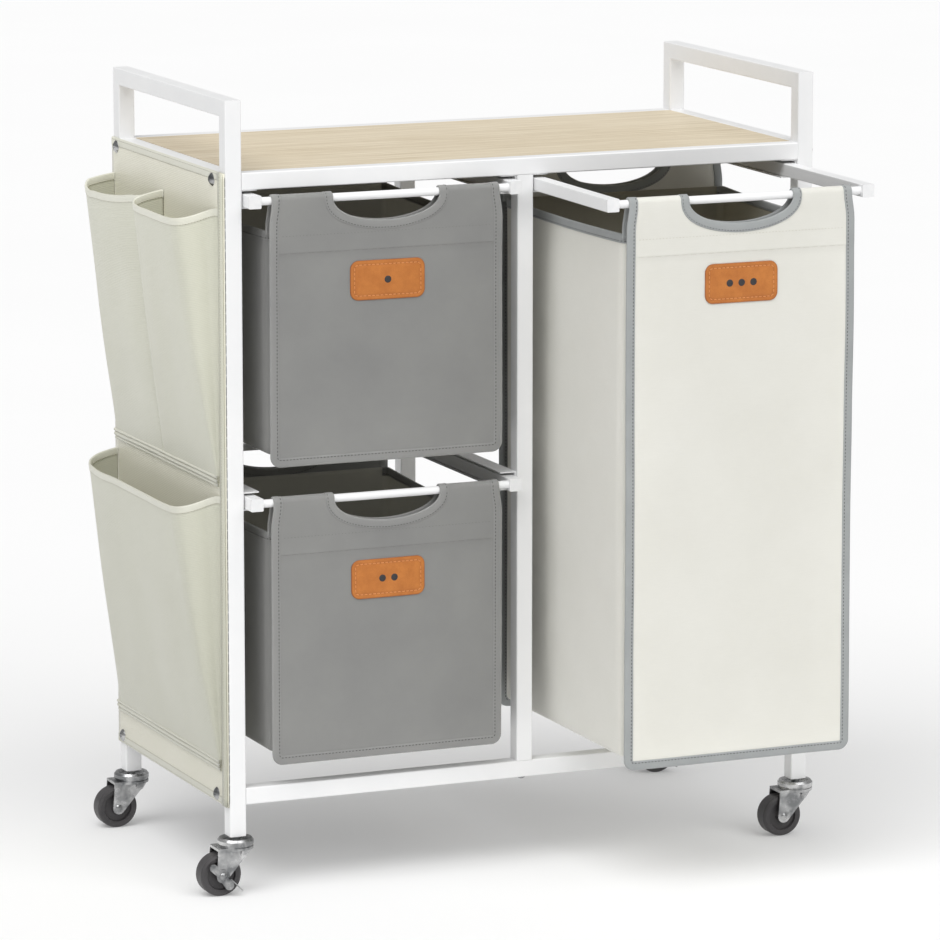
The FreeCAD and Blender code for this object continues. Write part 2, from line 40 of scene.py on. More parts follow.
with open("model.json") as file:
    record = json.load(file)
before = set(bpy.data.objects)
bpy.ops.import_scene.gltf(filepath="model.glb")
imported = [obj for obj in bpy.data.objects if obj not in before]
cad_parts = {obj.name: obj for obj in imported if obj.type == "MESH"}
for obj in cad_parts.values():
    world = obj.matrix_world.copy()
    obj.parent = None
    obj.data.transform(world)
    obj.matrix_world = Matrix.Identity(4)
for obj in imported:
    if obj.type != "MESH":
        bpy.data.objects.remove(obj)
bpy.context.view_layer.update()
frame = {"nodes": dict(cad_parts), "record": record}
NODES = frame["nodes"]


def node_box(name):
    """Lowest and highest corner of a CAD node, in millimetres."""
    low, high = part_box(name)
    return low * 1000, high * 1000


def smooth(t):
    """0 to 1 with level ends."""
    t = min(1.0, max(0.0, t))
    return t * t * (3 - 2 * t)


def mix(a, b, t):
    return a + (b - a) * t


def spread(start, end, step):
    """Even values from start to end, about a step apart."""
    count = max(1, round(abs(end - start) / step))
    return [start + (end - start) * i / count for i in range(count + 1)]


# ---- materials ----
class Shader:
    """A material's node tree, built with short calls."""

    def __init__(self, name, **values):
        self.material = bpy.data.materials.new(name)
        self.material.use_nodes = True
        tree = self.material.node_tree
        tree.nodes.clear()
        self.nodes, self.links = tree.nodes, tree.links
        out = self.nodes.new("ShaderNodeOutputMaterial")
        self.bsdf = self.nodes.new("ShaderNodeBsdfPrincipled")
        self.links.new(self.bsdf.outputs[0], out.inputs[0])
        for key, value in values.items():
            self.bsdf.inputs[key.replace("_", " ")].default_value = value

    def add(self, kind, inputs=(), **settings):
        node = self.nodes.new("ShaderNode" + kind)
        for key, value in settings.items():
            setattr(node, key, value)
        for key, value in dict(inputs).items():
            self.put(node.inputs[key], value)
        return node

    def put(self, socket, value):
        if isinstance(value, bpy.types.NodeSocket):
            self.links.new(value, socket)
        else:
            socket.default_value = value

    def coords(self, kind="Object", scale=(1, 1, 1)):
        source = self.add("TexCoord").outputs[kind]
        return self.add("Mapping", {"Vector": source, "Scale": scale}).outputs[0]

    def noise(self, vector, scale, detail=3.0, rough=0.55, distortion=0.0):
        inputs = {"Vector": vector, "Scale": scale, "Detail": detail, "Roughness": rough,
                  "Distortion": distortion}
        return self.add("TexNoise", inputs).outputs[0]

    def wave(self, vector, pitch, axis, distortion=0.0, detail_scale=1.0):
        """Sine bands of a pitch in metres along one axis of the vector."""
        inputs = {"Vector": vector, "Scale": 0.314159 / pitch, "Distortion": distortion, "Detail": 2.0,
                  "Detail Scale": detail_scale}
        return self.add("TexWave", inputs, bands_direction=axis).outputs["Fac"]

    def math(self, operation, a, b=0.0):
        return self.add("Math", {0: a, 1: b}, operation=operation).outputs[0]

    def span(self, value, low, high, to_low=0.0, to_high=1.0):
        inputs = {0: value, 1: low, 2: high, 3: to_low, 4: to_high}
        return self.add("MapRange", inputs).outputs[0]

    def blend(self, factor, a, b):
        """Colour between a and b."""
        node = self.add("Mix", {"Factor": factor}, data_type="RGBA")
        self.put(node.inputs[6], a)
        self.put(node.inputs[7], b)
        return node.outputs[2]

    def bump(self, height, distance, strength=1.0, under=None):
        inputs = {"Height": height, "Distance": distance, "Strength": strength}
        if under is not None:
            inputs["Normal"] = under
        return self.add("Bump", inputs).outputs[0]

    def finish(self, colour=None, rough=None, normal=None):
        for key, value in (("Base Color", colour), ("Roughness", rough), ("Normal", normal)):
            if value is not None:
                self.put(self.bsdf.inputs[key], value)
        return self.material


def rgb(red, green, blue):
    return (red, green, blue, 1.0)


def darker(colour, share):
    return rgb(*(part * share for part in colour[:3]))


def powder_coat():
    """White powder coat: faint orange peel and slight unevenness."""
    s = Shader("white_powder_coat", Specular_IOR_Level=0.45)
    at = s.coords()
    tone = s.noise(at, 14.0, 3.0)
    peel = s.noise(at, 900.0, 2.0)
    colour = s.blend(s.span(tone, 0.3, 0.7), rgb(0.84, 0.845, 0.85), rgb(0.88, 0.88, 0.88))
    rough = s.span(s.noise(at, 60.0, 3.0), 0.3, 0.7, 0.34, 0.46)
    return s.finish(colour, rough, s.bump(peel, 0.00008, 0.5))


def oak():
    """Pale oak decor: fine straight grain along X with darker pores and broad bands."""
    s = Shader("oak_decor", Specular_IOR_Level=0.35)
    long_grain = s.noise(s.coords(scale=(4.5, 270, 270)), 1.0, 4.0, 0.65, 0.3)
    fine_grain = s.noise(s.coords(scale=(13, 480, 480)), 1.0, 2.0, 0.5)
    pores = s.noise(s.coords(scale=(30, 1100, 1100)), 1.0, 2.0, 0.5)
    bands = s.noise(s.coords(scale=(0.9, 17, 17)), 1.0, 2.0, 0.5, 0.8)
    base = s.blend(s.span(long_grain, 0.36, 0.64), rgb(0.585, 0.485, 0.325), rgb(0.825, 0.735, 0.575))
    base = s.blend(s.span(fine_grain, 0.50, 0.66, 0.0, 0.55), base, rgb(0.525, 0.42, 0.28))
    base = s.blend(s.span(pores, 0.62, 0.74, 0.0, 0.5), base, rgb(0.43, 0.34, 0.22))
    base = s.blend(s.span(bands, 0.35, 0.7, 0.0, 0.35), base, rgb(0.79, 0.70, 0.54))
    rough = s.span(fine_grain, 0.3, 0.7, 0.46, 0.6)
    height = s.math("ADD", fine_grain, s.math("MULTIPLY", pores, -0.8))
    return s.finish(base, rough, s.bump(height, 0.00012, 0.5))


def fabric(name, light, dark, pitch=0.0009, painted_glow=0.0):
    """Plain woven cloth with a slight shine, uneven in tone, which can give off a faint painted light of its
    own colour to lift its shade.
    """
    # Emission in the cloth's light colour is painted light, not a lamp.
    s = Shader(name, Sheen_Weight=0.12, Sheen_Roughness=0.5, Specular_IOR_Level=0.3,
               Subsurface_Weight=0.6, Subsurface_Scale=0.004, Subsurface_Radius=(1.0, 1.0, 1.0),
               Emission_Color=light, Emission_Strength=painted_glow)
    at = s.coords("UV")
    threads = s.math("ADD", s.wave(at, pitch, "X", 0.6, 2.0), s.wave(at, pitch, "Y", 0.6, 2.0))
    height = s.math("MULTIPLY", threads, 0.5)
    tone = s.noise(s.coords(), 9.0, 4.0, 0.6)
    slub = s.noise(s.coords("UV", (60, 900, 1)), 1.0, 2.0)
    colour = s.blend(s.span(tone, 0.3, 0.7), light, dark)
    shade = s.math("MULTIPLY", s.math("ADD", height, slub), 0.5)
    colour = s.blend(s.span(shade, 0.25, 0.75, 0.12, 0.0), colour, darker(dark, 0.62))
    creases = s.noise(s.coords(), 26.0, 3.0, 0.5, 0.6)
    normal = s.bump(creases, 0.0006, 0.22)
    normal = s.bump(height, 0.00010, 0.7, normal)
    return s.finish(colour, s.span(slub, 0.3, 0.7, 0.62, 0.78), normal)


def ribbed_canvas(name, light, dark, pitch=0.0021):
    """Organiser cloth: fine ribs across a soft sheen, with painted shade that darkens it towards the floor.
    """
    s = Shader(name, Sheen_Weight=0.15, Sheen_Roughness=0.45, Specular_IOR_Level=0.45, Coat_Weight=0.35,
               Coat_Roughness=0.28)
    at = s.coords("UV")
    ribs = s.wave(at, pitch, "Y", 0.8, 1.5)
    threads = s.wave(at, 0.0008, "X", 0.5, 2.0)
    tone = s.noise(s.coords(), 8.0, 3.0, 0.6)
    colour = s.blend(s.span(tone, 0.3, 0.7), light, dark)
    colour = s.blend(s.span(ribs, 0.0, 0.45, 0.22, 0.0), colour, darker(dark, 0.7))
    # Painted shade: below 0.78 m the colour is darkened more and more towards the floor, up to half way to a
    # darker tone.
    height = s.add("SeparateXYZ", {"Vector": s.coords()}).outputs["Z"]
    colour = s.blend(s.span(height, 0.78, 0.1, 0.0, 0.5), colour, darker(dark, 0.55))
    soft = s.noise(s.coords(), 22.0, 2.0, 0.5, 0.5)
    normal = s.bump(soft, 0.0006, 0.2)
    normal = s.bump(s.math("ADD", ribs, s.math("MULTIPLY", threads, 0.35)), 0.00022, 0.65, normal)
    return s.finish(colour, s.span(tone, 0.3, 0.7, 0.40, 0.50), normal)


def tape(name, light, dark):
    """Woven binding tape: tight ribs across its run."""
    s = Shader(name, Sheen_Weight=0.15, Specular_IOR_Level=0.3)
    at = s.coords("UV")
    ribs = s.wave(at, 0.0011, "X", 0.4, 2.0)
    tone = s.noise(s.coords(), 30.0, 3.0)
    colour = s.blend(s.span(tone, 0.3, 0.7), light, dark)
    colour = s.blend(s.span(ribs, 0.0, 0.5, 0.2, 0.0), colour, darker(dark, 0.6))
    return s.finish(colour, s.span(tone, 0.3, 0.7, 0.6, 0.75), s.bump(ribs, 0.00012, 0.6))


def thread(name, colour, dark):
    """Twisted sewing thread."""
    s = Shader(name, Sheen_Weight=0.2, Specular_IOR_Level=0.4)
    twist = s.wave(s.coords(), 0.0007, "DIAGONAL")
    tone = s.blend(s.span(twist, 0.2, 0.8), dark, colour)
    return s.finish(tone, s.span(twist, 0.0, 1.0, 0.45, 0.6), s.bump(twist, 0.0001, 0.5))


def leather():
    """Tan leather: pebbled grain, cloudy tone and a darker pressed edge."""
    s = Shader("tan_leather_grain", Specular_IOR_Level=0.4)
    at = s.coords()
    cloud = s.noise(at, 70.0, 4.0, 0.65)
    cells = s.add("TexVoronoi", {"Vector": at, "Scale": 1150.0}, feature="DISTANCE_TO_EDGE").outputs[0]
    grain = s.noise(at, 1500.0, 3.0)
    pressed = s.add("Attribute", attribute_name="pressed").outputs["Fac"]
    colour = s.blend(s.span(cloud, 0.3, 0.7), rgb(0.46, 0.145, 0.024), rgb(0.58, 0.205, 0.040))
    colour = s.blend(s.span(cells, 0.0, 0.12, 0.35, 0.0), colour, rgb(0.36, 0.11, 0.02))
    colour = s.blend(s.math("MULTIPLY", pressed, 0.75), colour, rgb(0.30, 0.085, 0.016))
    height = s.math("ADD", s.span(cells, 0.0, 0.2), s.math("MULTIPLY", grain, 0.6))
    return s.finish(colour, s.span(cloud, 0.3, 0.7, 0.42, 0.56), s.bump(height, 0.00012, 0.6))


def ink():
    """Dark pressed mark on the leather."""
    s = Shader("pressed_mark", Specular_IOR_Level=0.35)
    tone = s.noise(s.coords(), 900.0, 3.0)
    colour = s.blend(s.span(tone, 0.35, 0.7), rgb(0.028, 0.03, 0.036), rgb(0.06, 0.05, 0.045))
    return s.finish(colour, s.span(tone, 0.3, 0.7, 0.5, 0.7), s.bump(tone, 0.00008, 0.5))


def zinc(name, dark, light):
    """Zinc plating: painted broad cloudy reflections, small painted highlights and duller hollows."""
    s = Shader(name, Metallic=1.0)
    at = s.coords()
    cloud = s.noise(at, 58.0, 2.0, 0.5, 0.3)
    painted_highlight_spots = s.noise(at, 190.0, 2.0)
    scuff = s.noise(s.coords(scale=(1, 1, 6)), 260.0, 3.0)
    # Painted reflections: the colour is blended between a dark and a light grey in broad clouds, and small
    # light spots are painted highlights.
    colour = s.blend(s.span(cloud, 0.35, 0.66), dark, light)
    colour = s.blend(s.span(painted_highlight_spots, 0.55, 0.75, 0.0, 0.3), colour, rgb(0.78, 0.78, 0.78))
    rough = s.span(s.math("ADD", cloud, s.math("MULTIPLY", scuff, 0.4)), 0.45, 0.95, 0.36, 0.22)
    normal = s.bump(s.noise(at, 120.0, 2.0), 0.0006, 0.3)
    return s.finish(colour, rough, s.bump(scuff, 0.00003, 0.5, normal))


def wheel_plastic():
    """Dark moulded wheel, slightly scuffed on its tread."""
    s = Shader("dark_wheel", Specular_IOR_Level=0.42)
    at = s.coords()
    scuff = s.noise(s.coords(scale=(1, 9, 1)), 120.0, 4.0, 0.7)
    tone = s.noise(at, 40.0, 3.0)
    colour = s.blend(s.span(tone, 0.3, 0.7), rgb(0.048, 0.046, 0.048), rgb(0.066, 0.062, 0.064))
    colour = s.blend(s.span(scuff, 0.58, 0.78, 0.0, 0.35), colour, rgb(0.13, 0.125, 0.12))
    return s.finish(colour, s.span(scuff, 0.3, 0.7, 0.36, 0.55), s.bump(scuff, 0.0001, 0.35))


def cap_plastic():
    """White moulded plastic with a fine satin grain."""
    s = Shader("white_plastic_grain", Specular_IOR_Level=0.5)
    at = s.coords()
    tone = s.noise(at, 120.0, 3.0)
    colour = s.blend(s.span(tone, 0.3, 0.7), rgb(0.78, 0.785, 0.79), rgb(0.84, 0.84, 0.84))
    return s.finish(colour, s.span(tone, 0.3, 0.7, 0.3, 0.42), s.bump(s.noise(at, 1300.0), 0.00005, 0.4))


MATERIALS = {
    "white_steel": powder_coat(),
    "oak_board": oak(),
    # The grey cloth gets a faint glow: painted light that lifts the shade inside the bags.
    "grey_fabric": fabric("grey_woven", rgb(0.285, 0.285, 0.275), rgb(0.245, 0.245, 0.24), painted_glow=0.025),
    "cream_fabric": fabric("cream_woven", rgb(0.80, 0.79, 0.725), rgb(0.76, 0.75, 0.685)),
    "canvas_fabric": ribbed_canvas("cream_ribbed", rgb(0.89, 0.87, 0.735), rgb(0.86, 0.84, 0.70)),
    "tan_leather": leather(),
    # Zinc with painted reflections and highlights in its colour.
    "zinc": zinc("zinc_painted_reflections", rgb(0.23, 0.235, 0.24), rgb(0.62, 0.62, 0.62)),
    "wheel_rubber": wheel_plastic(),
    "white_plastic": cap_plastic(),
}
GREY_HEM = fabric("grey_hem", rgb(0.31, 0.31, 0.30), rgb(0.275, 0.275, 0.27), 0.0008)
GREY_TAPE = tape("grey_tape", rgb(0.37, 0.385, 0.385), rgb(0.33, 0.345, 0.345))
# A darker copy of the organiser canvas for the pockets and the front fold: painted shade.
CANVAS_PAINTED_SHADE = ribbed_canvas("pocket_ribbed_painted_shade", rgb(0.70, 0.70, 0.585), rgb(0.665, 0.665, 0.55))
# Inner faces of the grey bags: a lighter copy of the grey cloth with a glow, painted light inside the bags.
GREY_INSIDE_PAINTED_LIGHT = fabric("grey_inside_painted_light", rgb(0.40, 0.39, 0.34), rgb(0.35, 0.34, 0.30), painted_glow=0.05)
# Inner face of the cream bag: a darker copy of the cream cloth, painted shade inside the bag.
CREAM_INSIDE_PAINTED_SHADE = fabric("cream_inside_painted_shade", rgb(0.42, 0.40, 0.33), rgb(0.37, 0.35, 0.285))
CREAM_HEM = ribbed_canvas("cream_hem", rgb(0.81, 0.805, 0.70), rgb(0.77, 0.765, 0.655), 0.0016)
DARK_THREAD = thread("dark_thread", rgb(0.09, 0.09, 0.09), rgb(0.05, 0.05, 0.05))
GREY_THREAD = thread("grey_thread", rgb(0.19, 0.19, 0.185), rgb(0.14, 0.14, 0.135))
CREAM_THREAD = thread("cream_thread", rgb(0.62, 0.60, 0.50), rgb(0.50, 0.48, 0.39))
SEAM_THREAD = thread("seam_thread", rgb(0.40, 0.37, 0.27), rgb(0.28, 0.26, 0.18))
TAN_THREAD = thread("tan_thread", rgb(0.82, 0.36, 0.12), rgb(0.58, 0.22, 0.06))
MARK_INK = ink()
# A darker copy of the zinc for screws, bolts and brake levers: painted shade in place of their darker
# reflections.
ZINC_PAINTED_SHADE = zinc("zinc_painted_shade", rgb(0.15, 0.155, 0.16), rgb(0.50, 0.50, 0.50))
ZINC_PAINTED_SHADE_NODES = ("organizer_screws", "frame_bolts", "front_left_brake_lever", "back_right_brake_lever")


# ---- mesh helpers ----
def make_piece(name, points, faces, material, uvs=None):
    """Mesh object from millimetre points, with the flat cloth's lengths as its UV map."""
    mesh = bpy.data.meshes.new(name)
    mesh.from_pydata([Vector(p) / 1000 for p in points], [], faces)
    mesh.materials.append(material)
    for face in mesh.polygons:
        face.use_smooth = True
    if uvs is not None:
        layer = mesh.uv_layers.new(name="flat")
        for loop in mesh.loops:
            u, v = uvs[loop.vertex_index]
            layer.data[loop.index].uv = (u / 1000, v / 1000)
    mesh.validate()
    piece = bpy.data.objects.new(name, mesh)
    bpy.context.scene.collection.objects.link(piece)
    return piece


def thicken(piece, thickness, inside_painted_light_and_shade=None):
    """Gives a cloth surface its thickness, half on each side, and its inner face a second material that
    carries painted light and shade.
    """
    solid = piece.modifiers.new("thickness", "SOLIDIFY")
    solid.thickness = thickness / 1000
    solid.offset = 0
    if inside_painted_light_and_shade:
        piece.data.materials.append(inside_painted_light_and_shade)
        solid.material_offset = 1
    return piece


def ring_faces(count, rings, base=0):
    """Faces that join rings of points, each of them closed."""
    faces = []
    for r in range(rings - 1):
        near, far = base + r * count, base + (r + 1) * count
        for i in range(count):
            j = (i + 1) % count
            faces.append([near + i, near + j, far + j, far + i])
    return faces


class Grid:
    """Faces between rows of points, where equal points are one vertex."""

    def __init__(self):
        self.index, self.flat, self.faces = {}, [], []

    def vertex(self, u, v):
        key = (round(u, 2), round(v, 2))
        if key not in self.index:
            self.index[key] = len(self.flat)
            self.flat.append((u, v))
        return self.index[key]

    def rows(self, rows):
        """Joins rows of (u, v) that all have the same number of points."""
        ids = [[self.vertex(u, v) for u, v in row] for row in rows]
        for upper, lower in zip(ids, ids[1:]):
            for i in range(len(upper) - 1):
                corners = [upper[i], lower[i], lower[i + 1], upper[i + 1]]
                kept = [c for n, c in enumerate(corners) if c != corners[n - 1]]
                if len(kept) > 2:
                    self.faces.append(kept)

    def piece(self, name, place, material):
        points = [place(u, v, 0.0) for u, v in self.flat]
        return make_piece(name, points, self.faces, material, self.flat)


def path_lengths(path, axes=2):
    """Length from the start to each point of a path, along its first axes."""
    lengths = [0.0]
    for a, b in zip(path, path[1:]):
        lengths.append(lengths[-1] + math.dist(a[:axes], b[:axes]))
    return lengths


BACK_FACE_SHIFT = 30.0


def ribbon(name, place, path, profile, material, closed=False):
    """Strip laid along a path on the cloth.  A path point is (u, v, inward u, inward v),
    and the profile is (distance in from the edge, height) from one face round to the other."""
    points, uvs, faces = [], [], []
    for (u, v, in_u, in_v), length in zip(path, path_lengths(path)):
        for d, h in profile:
            points.append(place(u + in_u * d, v + in_v * d, h))
            uvs.append((length, d + (BACK_FACE_SHIFT if h < 0 else 0.0)))
    n, count = len(profile), len(path)
    for i in range(count if closed else count - 1):
        j = (i + 1) % count
        for k in range(n - 1):
            faces.append([i * n + k, i * n + k + 1, j * n + k + 1, j * n + k])
    if not closed:
        faces.append(list(range(n)))
        faces.append([(count - 1) * n + k for k in reversed(range(n))])
    return make_piece(name, points, faces, material, uvs)


def along(path, distance, lengths):
    """Point and direction at a distance along a path."""
    for a, b, before, after in zip(path, path[1:], lengths, lengths[1:]):
        if distance <= after:
            size = max(1e-6, after - before)
            t = (distance - before) / size
            return [mix(p, q, t) for p, q in zip(a, b)], [(q - p) / size for p, q in zip(a, b)]
    return list(path[-1]), [1.0, 0.0]


class Stitches:
    """Collects threads on one body, and makes one piece of them."""

    def __init__(self):
        self.points, self.faces = [], []

    def one(self, start, end, up, width, height):
        """A thread lying between two points, raised towards up."""
        run = end - start
        side = run.cross(up).normalized() * width / 2
        base = len(self.points)
        rings = ((0.0, 0.25), (0.22, 0.9), (0.78, 0.9), (1.0, 0.25))
        for t, size in rings:
            middle = start + run * t
            lift = up * height * size
            self.points += [middle - side * size - up * 0.25, middle - side * size * 0.7 + lift * 0.75,
                            middle + lift, middle + side * size * 0.7 + lift * 0.75,
                            middle + side * size - up * 0.25]
        self.faces += ring_faces(5, len(rings), base)
        self.faces.append(list(reversed(range(base, base + 5))))
        self.faces.append(list(range(len(self.points) - 5, len(self.points))))

    def run(self, place, path, inset, height_at, pitch=4.0, length=2.7, width=0.9, height=0.45, skip=0.0):
        """Even stitches along a path, set in from it."""
        line = [(u + in_u * inset, v + in_v * inset) for u, v, in_u, in_v in path]
        lengths = path_lengths(line)
        count = int((lengths[-1] - 2 * skip) / pitch)
        start = (lengths[-1] - count * pitch) / 2
        for i in range(count):
            (u, v), step = along(line, start + (i + 0.5) * pitch, lengths)
            du, dv = step[0] * length / 2, step[1] * length / 2
            a = place(u - du, v - dv, height_at)
            b = place(u + du, v + dv, height_at)
            side = 1.0 if height_at >= 0 else -1.0
            up = (place(u, v, height_at + side) - place(u, v, height_at)).normalized()
            self.one(a, b, up, width, height)

    def piece(self, name, material):
        return make_piece(name, self.points, self.faces, material)


def hem_profile(width, cloth, rise):
    """Section of a tape folded over an edge of cloth, from its front face round to its back."""
    half = cloth / 2
    top = half + rise
    front = [(width, half - 0.1), (width - 0.35, top - 0.12), (width - 1.0, top), (1.1, top + 0.1),
             (0.1, top - 0.25), (-0.45, half * 0.5)]
    return front + [(d, -h) for d, h in reversed(front)]


# ---- cloth hung over a rod ----
CLOTH = 1.6
ROD_RADIUS = 4.75
ROD_GAP = 0.4
HOLE_HALF = 68.0
HOLE_DEEP = 28.5
HEM = 10.5
FLAP_CORNER = 12.0
FLAP_INSIDE = 40.0
FACING_DOWN = 60.4
SIDE_WALL_DOWN = 36.0
BAG_ABOVE_FLAP = 12.0


class Hung:
    """Sheet over a rod: v is measured from the rod's top, positive down its outer leg.
    facing is -1 where the outer leg is on the -Y side of the rod, and 1 on the +Y side."""

    def __init__(self, x, y, z, facing, width, outer, wobble, seed):
        self.x, self.y, self.z, self.facing = x, y, z, facing
        self.width, self.outer, self.wobble, self.seed = width, outer, wobble, seed
        self.radius = ROD_RADIUS + ROD_GAP + CLOTH / 2
        self.quarter = self.radius * math.pi / 2

    def waves(self, u, v):
        """Slow unevenness of the hanging cloth, none at the rod."""
        free = smooth((v - self.quarter) / 90)
        slow = noise.noise(Vector((u / 170, v / 260, self.seed))) * 2.4
        quick = noise.noise(Vector((u / 60, v / 95, self.seed + 7))) * 0.8
        return free * self.wobble * (slow + quick)

    def place(self, u, v, h):
        away = abs(v) - self.quarter
        narrow = 1 - 0.024 * (1 - smooth(max(0.0, away) / 30))
        x = self.x + u * narrow
        side = self.facing if v > 0 else -self.facing
        if away > 0:
            lift = h + self.waves(u, v)
            if v > 0:
                lift += 0.45 * (1 - smooth((away - FACING_DOWN) / 0.9)) * smooth(away / 12)
            return Vector((x, self.y + side * (self.radius + lift), self.z - away))
        angle = v / self.radius
        reach = self.radius + h
        return Vector((x, self.y + self.facing * math.sin(angle) * reach, self.z + math.cos(angle) * reach))

    def top_of_cloth(self, u):
        """Where the cloth starts below the rod, at the hand hole or the rod itself."""
        inside = 1 - (u / HOLE_HALF) ** 2
        return self.quarter + (HOLE_DEEP * math.sqrt(inside) if inside > 0 else 0.0)

    def rounded(self, u, v):
        """Moves a point near a lower corner in, so that the corner is round."""
        half, r = self.width / 2, FLAP_CORNER
        a = (abs(u) - (half - r)) / r
        b = (v - (self.quarter + self.outer - r)) / r
        if a > 0 and b > 0:
            a, b = a * math.sqrt(1 - b * b / 2), b * math.sqrt(1 - a * a / 2)
            return math.copysign(half - r + a * r, u), self.quarter + self.outer - r + b * r
        return u, v

    def columns(self):
        half = self.width / 2
        left = spread(-half, -half + FLAP_CORNER, 3.0)
        left += spread(-half + FLAP_CORNER, -HOLE_HALF, 7.0)[1:]
        middle = [-HOLE_HALF * math.cos(math.pi * i / 30) for i in range(1, 30)]
        return left + middle + [-u for u in reversed(left)]

    def mesh(self, name, material):
        us = self.columns()
        grid = Grid()
        level = 38.0
        below = spread(level, FACING_DOWN - 0.8, 7.0)[1:]
        below += [FACING_DOWN, FACING_DOWN + 0.5, FACING_DOWN + 1.1]
        below += spread(FACING_DOWN + 1.1, self.outer - FLAP_CORNER, 9.0)[1:]
        below += spread(self.outer - FLAP_CORNER, self.outer, 3.0)[1:]
        for sign, downs in ((1, below), (-1, [FLAP_INSIDE])):
            starts = [(u, self.top_of_cloth(u)) for u in us]
            rows = [[(u, sign * mix(top, self.quarter + level, k / 6)) for u, top in starts]
                    for k in range(7)]
            rows += [[(u, sign * (self.quarter + down)) for u in us] for down in downs]
            grid.rows([[self.rounded(u, v) for u, v in row] for row in rows])
        arc = spread(-self.quarter, self.quarter, 1.9)
        for left in (True, False):
            part = [u for u in us if (u <= -HOLE_HALF if left else u >= HOLE_HALF)]
            grid.rows([[(u, v) for u in part] for v in arc])
        return thicken(grid.piece(name, self.place, material), CLOTH)

    def edge(self):
        """Both side edges and the lower edge, from the inner leg round to the inner leg."""
        half, r, end = self.width / 2, FLAP_CORNER, self.quarter + self.outer
        side = spread(-self.quarter - FLAP_INSIDE, -self.quarter, 6.0)
        side += spread(-self.quarter, self.quarter, 1.9)[1:] + spread(self.quarter, end - r, 8.0)[1:]
        left = [(-half, v, 1.0, 0.0) for v in side]
        for i in range(1, 9):
            c, s = math.cos(math.pi / 16 * i), math.sin(math.pi / 16 * i)
            left.append((-half + r - r * c, end - r + r * s, c, -s))
        foot = [(u, end, 0.0, -1.0) for u in spread(-half + r, half - r, 8.0)[1:-1]]
        return left + foot + [(-u, v, -in_u, in_v) for u, v, in_u, in_v in reversed(left)]

    def hole(self):
        """Edge of the hand hole, all round, with the cloth on its inward side."""
        path = []
        for sign in (1, -1):
            for i in range(33):
                turn = math.pi * i / 32
                c, s = math.cos(turn) * sign, math.sin(turn)
                size = math.hypot(c / HOLE_HALF, s / HOLE_DEEP)
                path.append((HOLE_HALF * c, sign * (self.quarter + HOLE_DEEP * s),
                             c / HOLE_HALF / size, sign * s / HOLE_DEEP / size))
            ends = spread(sign * self.quarter, -sign * self.quarter, 1.9)[1:-1]
            path += [(-sign * HOLE_HALF, v, -sign * 1.0, 0.0) for v in ends]
        return path

    def across(self, down, margin):
        """Level line on the outer leg, a distance below the rod."""
        half = self.width / 2 - margin
        return [(u, self.quarter + down, 0.0, 1.0) for u in spread(-half, half, 8.0)]


